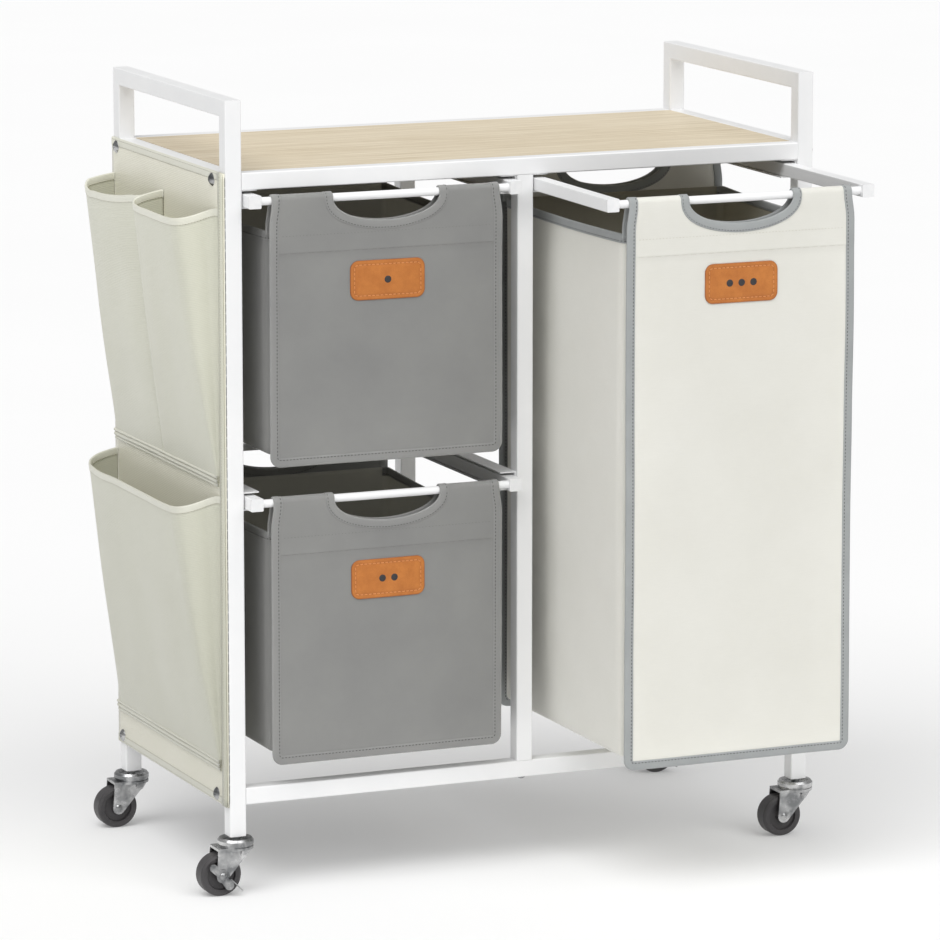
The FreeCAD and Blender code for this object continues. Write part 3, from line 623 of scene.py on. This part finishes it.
# ---- bag body ----
class Tub:
    """Sewn open bag: u runs round the rim from the middle of the front, v is down from the rim."""

    def __init__(self, low, high, seed, bulge):
        self.low, self.high, self.seed, self.bulge = low, high, seed, bulge
        self.corner, self.foot_r = 9.0, 6.0
        self.height = high.z - low.z
        self.ring = self.make_ring()
        self.lengths = path_lengths(self.ring + self.ring[:1])
        self.round_it = self.lengths[-1]

    def make_ring(self):
        """Plan points (x, y, normal x, normal y, wall, share along the wall), front middle first."""
        x0, y0, x1, y1, r = self.low.x, self.low.y, self.high.x, self.high.y, self.corner
        middle = (x0 + x1) / 2
        ring = []

        def wall(kind, start, end, normal, f0, f1):
            steps = spread(0.0, math.dist(start, end), 9.0)
            for d in steps[:-1]:
                t = d / steps[-1]
                x, y = mix(start[0], end[0], t), mix(start[1], end[1], t)
                ring.append((x, y, *normal, kind, mix(f0, f1, t)))

        def bend(cx, cy, turn, kind, f):
            for i in range(5):
                angle = turn + math.pi / 2 * i / 5
                c, s = math.cos(angle), math.sin(angle)
                ring.append((cx + r * c, cy + r * s, c, s, kind, f))

        wall("front", (middle, y0), (x1 - r, y0), (0, -1), 0.5, 1.0)
        bend(x1 - r, y0 + r, -math.pi / 2, "corner", 0.0)
        wall("side", (x1, y0 + r), (x1, y1 - r), (1, 0), 0.0, 1.0)
        bend(x1 - r, y1 - r, 0.0, "corner", 0.0)
        wall("back", (x1 - r, y1), (x0 + r, y1), (0, 1), 0.0, 1.0)
        bend(x0 + r, y1 - r, math.pi / 2, "corner", 0.0)
        wall("side", (x0, y1 - r), (x0, y0 + r), (-1, 0), 1.0, 0.0)
        bend(x0 + r, y0 + r, math.pi, "corner", 0.0)
        wall("front", (x0 + r, y0), (middle, y0), (0, -1), 0.0, 0.5)
        return ring

    def at(self, u):
        """Plan point and normal at a length round the rim."""
        u %= self.round_it
        for i, p in enumerate(self.ring):
            if u <= self.lengths[i + 1]:
                q = self.ring[(i + 1) % len(self.ring)]
                t = (u - self.lengths[i]) / (self.lengths[i + 1] - self.lengths[i])
                normal = Vector((mix(p[2], q[2], t), mix(p[3], q[3], t))).normalized()
                wall = p[4]
                share = mix(p[5], q[5], t) if p[4] == q[4] else (round(p[5]) if p[4] != "corner" else 0.0)
                return mix(p[0], q[0], t), mix(p[1], q[1], t), normal, wall, share
        raise ValueError(u)

    def relief(self, x, y, wall, share, v):
        """How far the wall stands out of its plane, and how far its rim dips."""
        middle = math.sin(math.pi * share) if wall != "corner" else 0.0
        v = max(0.0, v)
        down = v / self.height
        belly = math.sin(math.pi * min(1.0, down) ** 0.8)
        slow = noise.noise(Vector((x / 90, y / 90, v / 120 + self.seed))) * 1.3 * smooth(v / 60)
        quick = noise.noise(Vector((x / 26, y / 26, v / 60 + self.seed))) * 0.5 * smooth(v / 40)
        if wall == "side":
            out = self.bulge * middle * belly - 3.4 * middle * math.exp(-v / 55)
            return out + slow * middle + quick * middle, -3.2 * middle * math.exp(-v / 70)
        if wall in ("front", "back"):
            return (0.35 * self.bulge * belly + slow * 0.5) * middle, 0.0
        return -0.9 * belly, 0.0

    def place(self, u, v, h):
        x, y, normal, wall, share = self.at(u)
        out, dip = self.relief(x, y, wall, share, v)
        z = self.high.z - v + dip
        foot = v - (self.height - self.foot_r)
        tuck = 0.0
        if foot > 0:
            angle = min(math.pi / 2, foot / self.foot_r)
            tuck = self.foot_r * (1 - math.cos(angle))
            z = self.low.z + self.foot_r * (1 - math.sin(angle))
        reach = out + h - tuck
        return Vector((x + normal.x * reach, y + normal.y * reach, z))

    def mesh(self, name, material, inside_painted_light_and_shade):
        """Walls down to the rounded foot, then a floor that sags towards its middle."""
        bend = self.height - self.foot_r
        downs = spread(0, 40, 5.0) + spread(40, bend, 14.0)[1:]
        downs += [bend + self.foot_r * math.pi / 2 * k / 4 for k in range(1, 5)]
        points, uvs, faces = [], [], []
        count = len(self.ring)
        for v in downs:
            for i in range(count):
                u = self.lengths[i]
                points.append(self.place(u, v, 0.0))
                uvs.append((u, -v))
        foot = points[-count:]
        centre = Vector(((self.low.x + self.high.x) / 2, (self.low.y + self.high.y) / 2, self.low.z))
        for k in (0.94, 0.86, 0.74, 0.6, 0.45, 0.3, 0.15):
            for p in foot:
                q = centre + (p - centre) * k
                wrinkle = noise.noise(Vector((q.x / 55, q.y / 55, self.seed))) * 1.0
                q.z = self.low.z - 4.2 * (1 - k * k) + wrinkle * (1 - k)
                points.append(q)
                uvs.append((q.x, q.y))
        rings = len(points) // count
        for r in range(rings - 1):
            for i in range(count):
                j = (i + 1) % count
                faces.append([r * count + i, (r + 1) * count + i, (r + 1) * count + j, r * count + j])
        points.append(centre + Vector((0, 0, -4.2)))
        uvs.append((centre.x, centre.y))
        last = (rings - 1) * count
        for i in range(count):
            faces.append([last + i, len(points) - 1, last + (i + 1) % count])
        return thicken(make_piece(name, points, faces, material, uvs), CLOTH, inside_painted_light_and_shade)

    def side_rim(self, right):
        """Rim of one side wall, from the front corner to the back one."""
        wanted = []
        for i, p in enumerate(self.ring):
            on_side = (p[0] > (self.low.x + self.high.x) / 2) == right
            if on_side and (p[4] == "side" or p[4] == "corner"):
                wanted.append(self.lengths[i])
        return [(u, 0.0, 0.0, 1.0) for u in wanted]


# ---- leather patch ----
def round_rect(width, height, radius, inset, steps=6):
    """Points round a rounded rectangle that is set in from its outline."""
    half_w, half_h = width / 2 - inset, height / 2 - inset
    r = max(0.6, radius - inset)
    ring = []
    for n, (sx, sy) in enumerate(((1, 1), (-1, 1), (-1, -1), (1, -1))):
        cx, cy = sx * (half_w - r), sy * (half_h - r)
        for i in range(steps + 1):
            turn = math.pi / 2 * (n + i / steps)
            ring.append((cx + r * math.cos(turn), cy + r * math.sin(turn)))
    full = []
    for n, ((ax, ay), (bx, by)) in enumerate(zip(ring, ring[1:] + ring[:1])):
        parts = 9 if n % (steps + 1) == steps else 1
        full += [(mix(ax, bx, k / parts), mix(ay, by, k / parts)) for k in range(parts)]
    return full


def leather_patch(name, place, v_centre, size, dots):
    """Patch with a turned edge, a stitch groove and pressed dots."""
    width, height, radius = size
    base = CLOTH / 2
    rings = [(0.0, 0.0, 1.0), (0.0, 0.8, 1.0), (0.25, 1.15, 0.8), (0.8, 1.35, 0.35), (2.2, 1.42, 0.05),
             (4.0, 1.38, 0.1), (4.7, 1.1, 0.55), (5.4, 1.1, 0.55), (6.1, 1.38, 0.1), (8.5, 1.45, 0.0),
             (13.0, 1.5, 0.0), (18.0, 1.5, 0.0), (21.5, 1.5, 0.0)]
    points, pressed = [], []
    for inset, rise, dark in rings:
        for u, w in round_rect(width, height, radius, inset):
            points.append(place(u, v_centre - w, base + rise))
            pressed.append(dark)
    count = len(points) // len(rings)
    faces = ring_faces(count, len(rings))
    faces.append(list(range(len(points) - count, len(points))))
    faces.append(list(reversed(range(count))))
    piece = make_piece(name, points, faces, MATERIALS["tan_leather"])
    shade = piece.data.attributes.new("pressed", "FLOAT", "POINT")
    shade.data.foreach_set("value", pressed)
    seam = Stitches()
    path = [(u, v_centre - w, 0.0, 0.0) for u, w in round_rect(width, height, radius, 5.05)]
    seam.run(place, path + path[:1], 0.0, base + 1.1, pitch=5.2, length=3.9, width=1.25, height=0.6)
    threads = seam.piece(name + "_thread", TAN_THREAD)
    marks = pressed_dots(name + "_mark", place, v_centre, base + 1.5, dots)
    return piece, threads, marks


def pressed_dots(name, place, v_centre, height, dots):
    """A row of round pressed marks, which tells the bags apart."""
    points, faces = [], []
    radius, gap, steps = 4.2, 15.0, 24
    for n in range(dots):
        middle = (n - (dots - 1) / 2) * gap
        rings = ((radius, 0.0), (radius - 0.3, 0.22), (radius * 0.5, 0.16))
        faces += ring_faces(steps, len(rings), len(points))
        for r, rise in rings:
            for i in range(steps):
                turn = 2 * math.pi * i / steps
                u, v = middle + r * math.cos(turn), v_centre - r * math.sin(turn)
                points.append(place(u, v, height + rise))
        faces.append(list(range(len(points) - steps, len(points))))
    return make_piece(name, points, faces, MARK_INK)


# ---- the three bags ----
GREY_LOOK = {"cloth": "grey_fabric", "hem": GREY_HEM, "rise": 0.55, "fine": GREY_THREAD,
             "inside_painted_light_and_shade": GREY_INSIDE_PAINTED_LIGHT, "bulge": 3.0}
CREAM_LOOK = {"cloth": "cream_fabric", "hem": GREY_TAPE, "rise": 0.75, "fine": CREAM_THREAD,
              "inside_painted_light_and_shade": CREAM_INSIDE_PAINTED_SHADE, "bulge": 2.4}
BAGS = {"upper": {**GREY_LOOK, "dots": 1, "seed": 3.1}, "lower": {**GREY_LOOK, "dots": 2, "seed": 11.7},
        "tall": {**CREAM_LOOK, "dots": 3, "seed": 23.9}}
HEM_STITCH = {"pitch": 4.2, "length": 2.5, "width": 1.15}
HOLE_STITCH = {"pitch": 3.8, "length": 2.2, "width": 0.85}
CASING_STITCH = {"pitch": 4.2, "length": 2.0, "width": 0.6, "height": 0.25}
# A long unbroken thread line at the lower edge of the facing: painted shadow of the step there.
FACING_EDGE_PAINTED_SHADOW = {"pitch": 11.0, "length": 10.9, "width": 0.7, "height": 0.12}


def dress(piece, body, slot, *stands_for):
    """Puts a piece on its body and hides the CAD nodes that it replaces; the slot argument is not used."""
    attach(piece, body)
    if stands_for:
        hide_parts(*stands_for)
    return piece


def hem_and_sew(name, sheet, look):
    """Tape round a hung flap's edge and hand hole, its stitches, and the seam across it with a thin line of
    painted shadow at the facing's edge.
    """
    section = hem_profile(HEM, CLOTH, look["rise"])
    edge, hole = sheet.edge(), sheet.hole()
    tapes = [ribbon(name + "_edge_hem", sheet.place, edge, section, look["hem"]),
             ribbon(name + "_hand_hem", sheet.place, hole, section, look["hem"], closed=True)]
    on_hem = CLOTH / 2 + look["rise"]
    seam = Stitches()
    for side in (on_hem, -on_hem):
        seam.run(sheet.place, edge, 8.0, side, skip=30, **HEM_STITCH)
        seam.run(sheet.place, hole + hole[:1], 8.3, side, **HOLE_STITCH)
    strong = seam.piece(name + "_thread", DARK_THREAD)
    seam = Stitches()
    seam.run(sheet.place, sheet.across(41.0, 12.0), 0.0, CLOTH / 2, **CASING_STITCH)
    # Painted shadow line at the facing's edge.
    seam.run(sheet.place, sheet.across(FACING_DOWN + 0.8, 11.5), 0.0, CLOTH / 2, **FACING_EDGE_PAINTED_SHADOW)
    return tapes + [strong, seam.piece(name + "_seam_and_painted_shadow", look["fine"])]


def bag_rims(key, tub, look):
    """Tape and stitches on the rims of the two side walls."""
    section = hem_profile(HEM, CLOTH, look["rise"])
    rims, seam = [], Stitches()
    for side in ("left", "right"):
        rim = tub.side_rim(side == "right")
        rims.append(ribbon(f"{key}_{side}_rim_hem", tub.place, rim, section, look["hem"]))
        for face in (1, -1):
            seam.run(tub.place, rim, 8.0, face * (CLOTH / 2 + look["rise"]), **HEM_STITCH)
    return rims + [seam.piece(key + "_rim_thread", DARK_THREAD)]


def bag_label(key, front, dots):
    """Leather patch over the CAD one, with its stitches and dots."""
    low, high = node_box(key + "_label")
    size = (high.x - low.x, high.z - low.z, 10.0)
    v_centre = front.quarter + front.z - (low.z + high.z) / 2
    patch, *marks = leather_patch(key + "_leather_patch", front.place, v_centre, size, dots)
    dress(patch, key + "_drawer", "tan_leather", key + "_label")
    return [patch] + [dress(piece, key + "_drawer", "tan_leather") for piece in marks]


def make_bag(key, look):
    """Front and back flaps hung over the rods, and the open bag between them."""
    body, slot = key + "_drawer", look["cloth"]
    flap_low, flap_high = node_box(key + "_bag_flap")
    rods_low, rods_high = node_box(key + "_bag_rods")
    rod_r = (rods_high.z - rods_low.z) / 2
    rod_z = rods_low.z + rod_r
    front_y, back_y = rods_low.y + rod_r, rods_high.y - rod_r
    middle, width = (flap_low.x + flap_high.x) / 2, flap_high.x - flap_low.x
    drop = rod_z - flap_low.z

    front = Hung(middle, front_y, rod_z, -1, width, drop, 1.0, look["seed"])
    back = Hung(middle, back_y, rod_z, 1, width, drop, 0.8, look["seed"] + 5)
    behind_flap = front.radius + CLOTH + 0.2
    half = width / 2 - 1 - CLOTH / 2
    tub_low = Vector((middle - half, front_y + behind_flap, flap_low.z + BAG_ABOVE_FLAP + CLOTH / 2))
    tub_high = Vector((middle + half, back_y - behind_flap, rod_z - SIDE_WALL_DOWN))
    tub = Tub(tub_low, tub_high, look["seed"], look["bulge"])

    cloth = MATERIALS[slot]
    front_piece = dress(front.mesh(key + "_front_flap", cloth), body, slot, key + "_bag_flap")
    back_piece = dress(back.mesh(key + "_back_flap", cloth), body, slot)
    tub_piece = dress(tub.mesh(key + "_bag_cloth", cloth, look["inside_painted_light_and_shade"]), body, slot, key + "_bag")
    front_trim = hem_and_sew(key + "_front", front, look)
    back_trim = hem_and_sew(key + "_back", back, look)
    rims = bag_rims(key, tub, look)
    for piece in front_trim + back_trim + rims:
        dress(piece, body, slot)
    front_trim += bag_label(key, front, look["dots"])

    for piece, trim in ((front_piece, front_trim), (back_piece, back_trim)):
        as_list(trim)


# ---- side organiser ----
POCKET_CLOTH = 1.4
POCKET_HEM = 8.8
TUCK = 6.0
FOLD = 13.0
SEAM = {"pitch": 3.6, "length": 3.0, "width": 0.8, "height": 0.25}


class Panel:
    """Flat backing cloth: u is Y, v is height, h is outward from its middle."""

    def __init__(self, face, low, high):
        self.face, self.low, self.high = face, low, high

    def place(self, u, v, h):
        slow = noise.noise(Vector((u / 120, v / 150, 4.4))) * 0.9
        edge = min(u - self.low.y, self.high.y - u, v - self.low.z, self.high.z - v)
        return Vector((self.face - h - slow * smooth(edge / 60), u, v))

    def mesh(self, name, material):
        grid = Grid()
        us = spread(self.low.y, self.high.y, 9.0)
        grid.rows([[(u, v) for u in us] for v in spread(self.high.z, self.low.z, 10.0)])
        return thicken(grid.piece(name, self.place, material), CLOTH)


def curve_through(points, steps=7):
    """Smooth curve through points, however unevenly they are spaced."""
    gaps = [math.dist(a, b) for a, b in zip(points, points[1:])]
    slopes = [[(q - p) / gap for p, q in zip(a, b)] for a, b, gap in zip(points, points[1:], gaps)]
    heading = [slopes[0]]
    for before, after, gap_before, gap_after in zip(slopes, slopes[1:], gaps, gaps[1:]):
        share = gap_before / (gap_before + gap_after)
        heading.append([mix(p, q, share) for p, q in zip(before, after)])
    heading.append(slopes[-1])
    out = []
    for a, b, leave, arrive, gap in zip(points, points[1:], heading, heading[1:], gaps):
        for i in range(steps):
            t = i / steps
            out.append([mix(p, q, smooth(t)) + gap * (u * t * (1 - t) ** 2 - v * t * t * (1 - t))
                        for p, q, u, v in zip(a, b, leave, arrive)])
    return out + [list(points[-1])]


class Pocket:
    """Lofted pocket: u is length along the hem from its back end, v is down from the hem.
    A hem point is (out from the panel, Y, drop below the hem's ends)."""

    def __init__(self, face, front, back, top, foot, hem):
        self.face, self.front, self.back, self.top, self.foot = face, front, back, top, foot
        self.hem = curve_through(hem)
        self.lengths = path_lengths(self.hem, 3)
        self.long = self.lengths[-1]
        self.height = top - foot

    def at(self, u, t):
        """Point at a length along the hem and a share of the way down to the foot."""
        u = min(max(u, 0.0), self.long)
        i = max(k for k, length in enumerate(self.lengths[:-1]) if length <= u)
        s = (u - self.lengths[i]) / (self.lengths[i + 1] - self.lengths[i])
        out, y, drop = (mix(a, b, s) for a, b in zip(self.hem[i], self.hem[i + 1]))
        depth = mix(1.0, 0.02, t) + 0.05 * math.sin(math.pi * t)
        ahead = y - self.front
        kept = smooth((ahead - 22) / 70)
        y = self.front + ahead * mix(depth, 1.0, kept)
        ripple = noise.noise(Vector((y / 60, t * 3.0, self.top / 100))) * 1.6
        fold = ripple * math.sin(math.pi * t) * min(1, out / 12)
        z = mix(self.top - drop, self.foot, t)
        return Vector((self.face - out * depth - fold, y, z))

    def place(self, u, v, h):
        t = v / self.height
        p = self.at(u, t)
        if h == 0:
            return p
        step = 1.2
        a, b = self.at(u - step, t), self.at(u + step, t)
        normal = (b - a).cross(self.at(u, t + 0.01) - self.at(u, t - 0.01)).normalized()
        return p + normal * h

    def mesh(self, name, material):
        grid = Grid()
        downs = spread(0, 16, 4.0) + spread(16, self.height, 9.0)[1:]
        grid.rows([[(u, v) for u in self.lengths] for v in downs])
        return thicken(grid.piece(name, self.place, material), POCKET_CLOTH)

    def rim(self):
        return [(u, 0.0, 0.0, 1.0) for u in self.lengths]

    def area(self):
        foot = abs(self.back - self.front)
        return (self.long + foot) / 2 * self.height


# A hem is rows of (share of how far the pocket stands out, Y, share of how far the hem dips).
def wide_hem(back, front, slant):
    """Hem of a pocket whose front end sweeps round and back to the panel in an S."""
    after, before = back - slant - 18, front + 62
    return [(0.0, back, 0.0), (0.35, back - slant * 0.2, 0.15), (0.70, back - slant * 0.5, 0.37),
            (0.91, back - slant, 0.62), (0.985, back - slant - 6, 0.82), (1.0, after, 0.93),
            (1.0, mix(after, before, 0.33), 0.97), (1.0, mix(after, before, 0.67), 1.0),
            (1.0, before, 1.0), (0.98, front + 46, 0.97), (0.88, front + 33, 0.88),
            (0.68, front + 25, 0.73), (0.44, front + 20, 0.52), (0.20, front + 16, 0.28),
            (0.05, front + 9, 0.09), (0.0, front, 0.0), (0.0, front - TUCK, 0.0)]


def narrow_hem(back, front, slant):
    """Hem of the pocket behind, whose front end turns in along the next pocket's side."""
    return [(0.0, back, 0.0), (0.35, back - slant * 0.2, 0.12), (0.70, back - slant * 0.5, 0.28),
            (0.91, back - slant, 0.42), (0.975, back - slant - 2, 0.72), (0.99, back - slant - 9, 0.95),
            (1.0, mix(back, front, 0.25), 1.0), (0.95, mix(back, front, 0.46), 0.96),
            (0.86, mix(back, front, 0.67), 0.78), (0.76, front + 22, 0.5), (0.71, front + 10, 0.44),
            (0.61, front + 4.2, 0.38), (0.42, front + 2.8, 0.26), (0.2, front + 1.6, 0.1),
            (0.0, front, 0.0)]


def foot_tape(name, panel, front, back, foot):
    """Tape sewn over the foot of a pocket, in three low ridges."""
    rows = [(-3.4, 0.7), (-3.0, 2.4), (-2.0, 3.9), (-0.7, 4.2), (0.4, 3.7), (1.0, 3.0), (1.6, 3.7),
            (2.6, 4.9), (4.0, 5.3), (5.4, 4.9), (6.2, 3.9), (6.8, 3.9), (7.5, 5.2), (8.8, 5.8),
            (10.0, 5.4), (10.6, 4.2), (10.7, 2.0)]
    path = [(y, foot, 0.0, 1.0) for y in spread(front, back, 12.0)]
    return ribbon(name, panel.place, path, rows, CREAM_HEM)


def level_path(front, back, z, inward):
    """Level line on the panel, whose cloth lies on the inward side."""
    return [(y, z, 0.0, inward) for y in spread(front, back, 12.0)]


# node, hem, how far it stands out, how far its hem dips, and how far its back side slants
POCKETS = (("back_upper_pocket", narrow_hem, 40.0, 15.5, 6.0),
           ("front_upper_pocket", wide_hem, 40.0, 15.0, 1.7),
           ("lower_pocket", wide_hem, 42.0, 17.0, 10.5))


def make_pocket(node, shape, out, dip, slant, panel, face, seam):
    """A pocket and its hem, with its stitches added to the organiser's."""
    low, high = node_box(node)
    hem = [(out * a, y, dip * b) for a, y, b in shape(high.y, low.y, slant)]
    pocket = Pocket(face, low.y, high.y, high.z, low.z, hem)
    piece = dress(pocket.mesh(node + "_cloth", CANVAS_PAINTED_SHADE), "frame", "canvas_fabric", node)
    section = hem_profile(POCKET_HEM, POCKET_CLOTH, 0.7)
    rim = ribbon(node + "_hem", pocket.place, pocket.rim(), section, CREAM_HEM)
    dress(rim, "frame", "canvas_fabric")
    for side in (1.25, -1.25):
        seam.run(pocket.place, pocket.rim(), POCKET_HEM - 0.7, side, **SEAM)
    for y in (low.y - 3.0, high.y + 3.0):
        run = [(y, z, 0.0, 0.0) for z in spread(low.z + 12, high.z - 2, 10.0)]
        seam.run(panel.place, run, 0.0, CLOTH / 2, **SEAM)
    return pocket, piece, rim


def make_edges(low, high, panel, over, seam):
    """Hems along the top and the foot, the stitches of the front fold, and a dark strip of painted shadow
    along its front edge.
    """
    trim = []
    section = hem_profile(10.0, CLOTH, 0.45)[:7] + [(0.2, -CLOTH / 2 - 0.1), (8.0, -CLOTH / 2 - 0.1)]
    for name, z, inward in (("organizer_top_hem", high.z, -1.0), ("organizer_foot_hem", low.z, 1.0)):
        edge = level_path(low.y + FOLD + 0.2, high.y, z, inward)
        trim.append(ribbon(name, panel.place, edge, section, CREAM_HEM))
        for inset in (2.2, 9.0):
            seam.run(panel.place, edge, inset, CLOTH / 2 + 0.4, **SEAM)
    front_line = [(low.y, z, 1.0, 0.0) for z in spread(low.z + 2, high.z - 2, 10.0)]
    seam.run(over.place, front_line, 7.5, CLOTH / 2, pitch=3.6, length=2.2, width=0.8, height=0.25)
    # A dark strip of grey thread along the front edge, beside the leg: painted shadow of the gap there.
    shade = Stitches()
    shade.run(panel.place, front_line, 0.2, -CLOTH / 2, pitch=12.0, length=12.2, width=1.2, height=1.3)
    return trim + [shade.piece("organizer_edge_painted_shadow", GREY_THREAD)]


def make_organizer():
    low, high = node_box("organizer_panel")
    panel = Panel((low.x + high.x) / 2, low, high)
    over = Panel(low.x - 1.5, low + Vector((0, 1.0, 0.6)), Vector((0, low.y + FOLD, high.z - 0.6)))
    cloth = dress(panel.mesh("organizer_cloth", MATERIALS["canvas_fabric"]), "frame", "canvas_fabric",
                  "organizer_panel")
    fold = dress(over.mesh("organizer_front_fold", CANVAS_PAINTED_SHADE), "frame", "canvas_fabric")
    seam = Stitches()
    trim = make_edges(low, high, panel, over, seam)
    pockets = [make_pocket(*row, panel, low.x - 0.8, seam) for row in POCKETS]
    upper_low, upper_high = node_box("back_upper_pocket")
    front_low, _ = node_box("front_upper_pocket")
    lower_low, lower_high = node_box("lower_pocket")
    tapes = (("upper_pocket_tape", front_low.y - 1, upper_high.y + 1, upper_low.z),
             ("lower_pocket_tape", lower_low.y - 1, lower_high.y + 1, lower_low.z))
    for name, front, back, foot in tapes:
        trim.append(foot_tape(name, panel, front, back, foot))
        for up, rise in ((1.0, 3.0), (6.5, 3.9)):
            seam.run(panel.place, level_path(front, back, foot + up, 1.0), 0.0, rise, **SEAM)
    trim.append(seam.piece("organizer_thread", SEAM_THREAD))
    for piece in trim:
        dress(piece, "frame", "canvas_fabric")
    for pocket, piece, rim in pockets:
        pocket.area() / 1e6


# ---- materials of the CAD nodes ----
def paint_nodes():
    slots = {row["node"]: row["material_slot"] for row in frame["record"]["subparts"]}
    for name, piece in NODES.items():
        if not piece.material_slots:
            piece.data.materials.append(None)
        for slot in piece.material_slots:
            slot.link = "OBJECT"
            slot.material = ZINC_PAINTED_SHADE if name in ZINC_PAINTED_SHADE_NODES else MATERIALS[slots[name]]


# ---- stage, light and camera ----
def make_stage():
    """Pale floor, 24 m wide, that gives off a little light of its own to keep shadows faint."""
    s = Shader("pale_floor", Roughness=0.9, Specular_IOR_Level=0.1, Emission_Color=rgb(1, 1, 1),
               Emission_Strength=0.20)
    tone = s.noise(s.coords(), 1.5, 2.0)
    material = s.finish(s.blend(tone, rgb(0.71, 0.71, 0.71), rgb(0.73, 0.73, 0.73)))
    marks = spread(-12000, 12000, 2000)
    grid = Grid()
    grid.rows([[(x, y) for x in marks] for y in reversed(marks)])
    grid.piece("studio_floor", lambda x, y, h: Vector((x, y, h)), material)


def sun_light(name, toward, angle, power):
    """Broad soft sun, shining along the direction given."""
    data = bpy.data.lights.new(name, "SUN")
    data.energy, data.angle = power, math.radians(angle)
    lamp = bpy.data.objects.new(name, data)
    bpy.context.scene.collection.objects.link(lamp)
    lamp.rotation_euler = Vector(toward).to_track_quat("-Z", "Y").to_euler()


def make_light():
    """Even surroundings, and two broad suns from the front, high up on the right and on the left."""
    world = bpy.data.worlds.new("studio")
    world.use_nodes = True
    background = world.node_tree.nodes["Background"]
    background.inputs["Color"].default_value = rgb(1, 1, 1)
    background.inputs["Strength"].default_value = 0.40
    bpy.context.scene.world = world
    sun_light("key", (-0.25, 0.68, -0.69), 50.0, 1.08)
    sun_light("left_fill", (0.43, 0.35, -0.83), 45.0, 1.72)


def make_camera():
    """Long lens from the front left, a little above."""
    data = bpy.data.cameras.new("camera")
    data.lens, data.sensor_width = 215.5, 36.0
    data.clip_start, data.clip_end = 0.1, 60.0
    camera = bpy.data.objects.new("camera", data)
    bpy.context.scene.collection.objects.link(camera)
    low, high = node_box("left_front_leg")
    _, other_high = node_box("right_back_leg")
    ground = Vector(((low.x + other_high.x) / 2, (low.y + other_high.y) / 2, low.z)) / 1000
    camera.location = ground + Vector((-2.6162, -6.1237, 1.6061))
    azimuth, pitch = math.radians(23.216), math.radians(10.479)
    aim = Vector((math.sin(azimuth) * math.cos(pitch), math.cos(azimuth) * math.cos(pitch), -math.sin(pitch)))
    camera.rotation_euler = aim.to_track_quat("-Z", "Y").to_euler()
    bpy.context.scene.camera = camera


paint_nodes()
for bag_name, bag_look in BAGS.items():
    make_bag(bag_name, bag_look)
make_organizer()
make_stage()
make_light()
make_camera()
bpy.context.scene.view_settings.view_transform = "Standard"
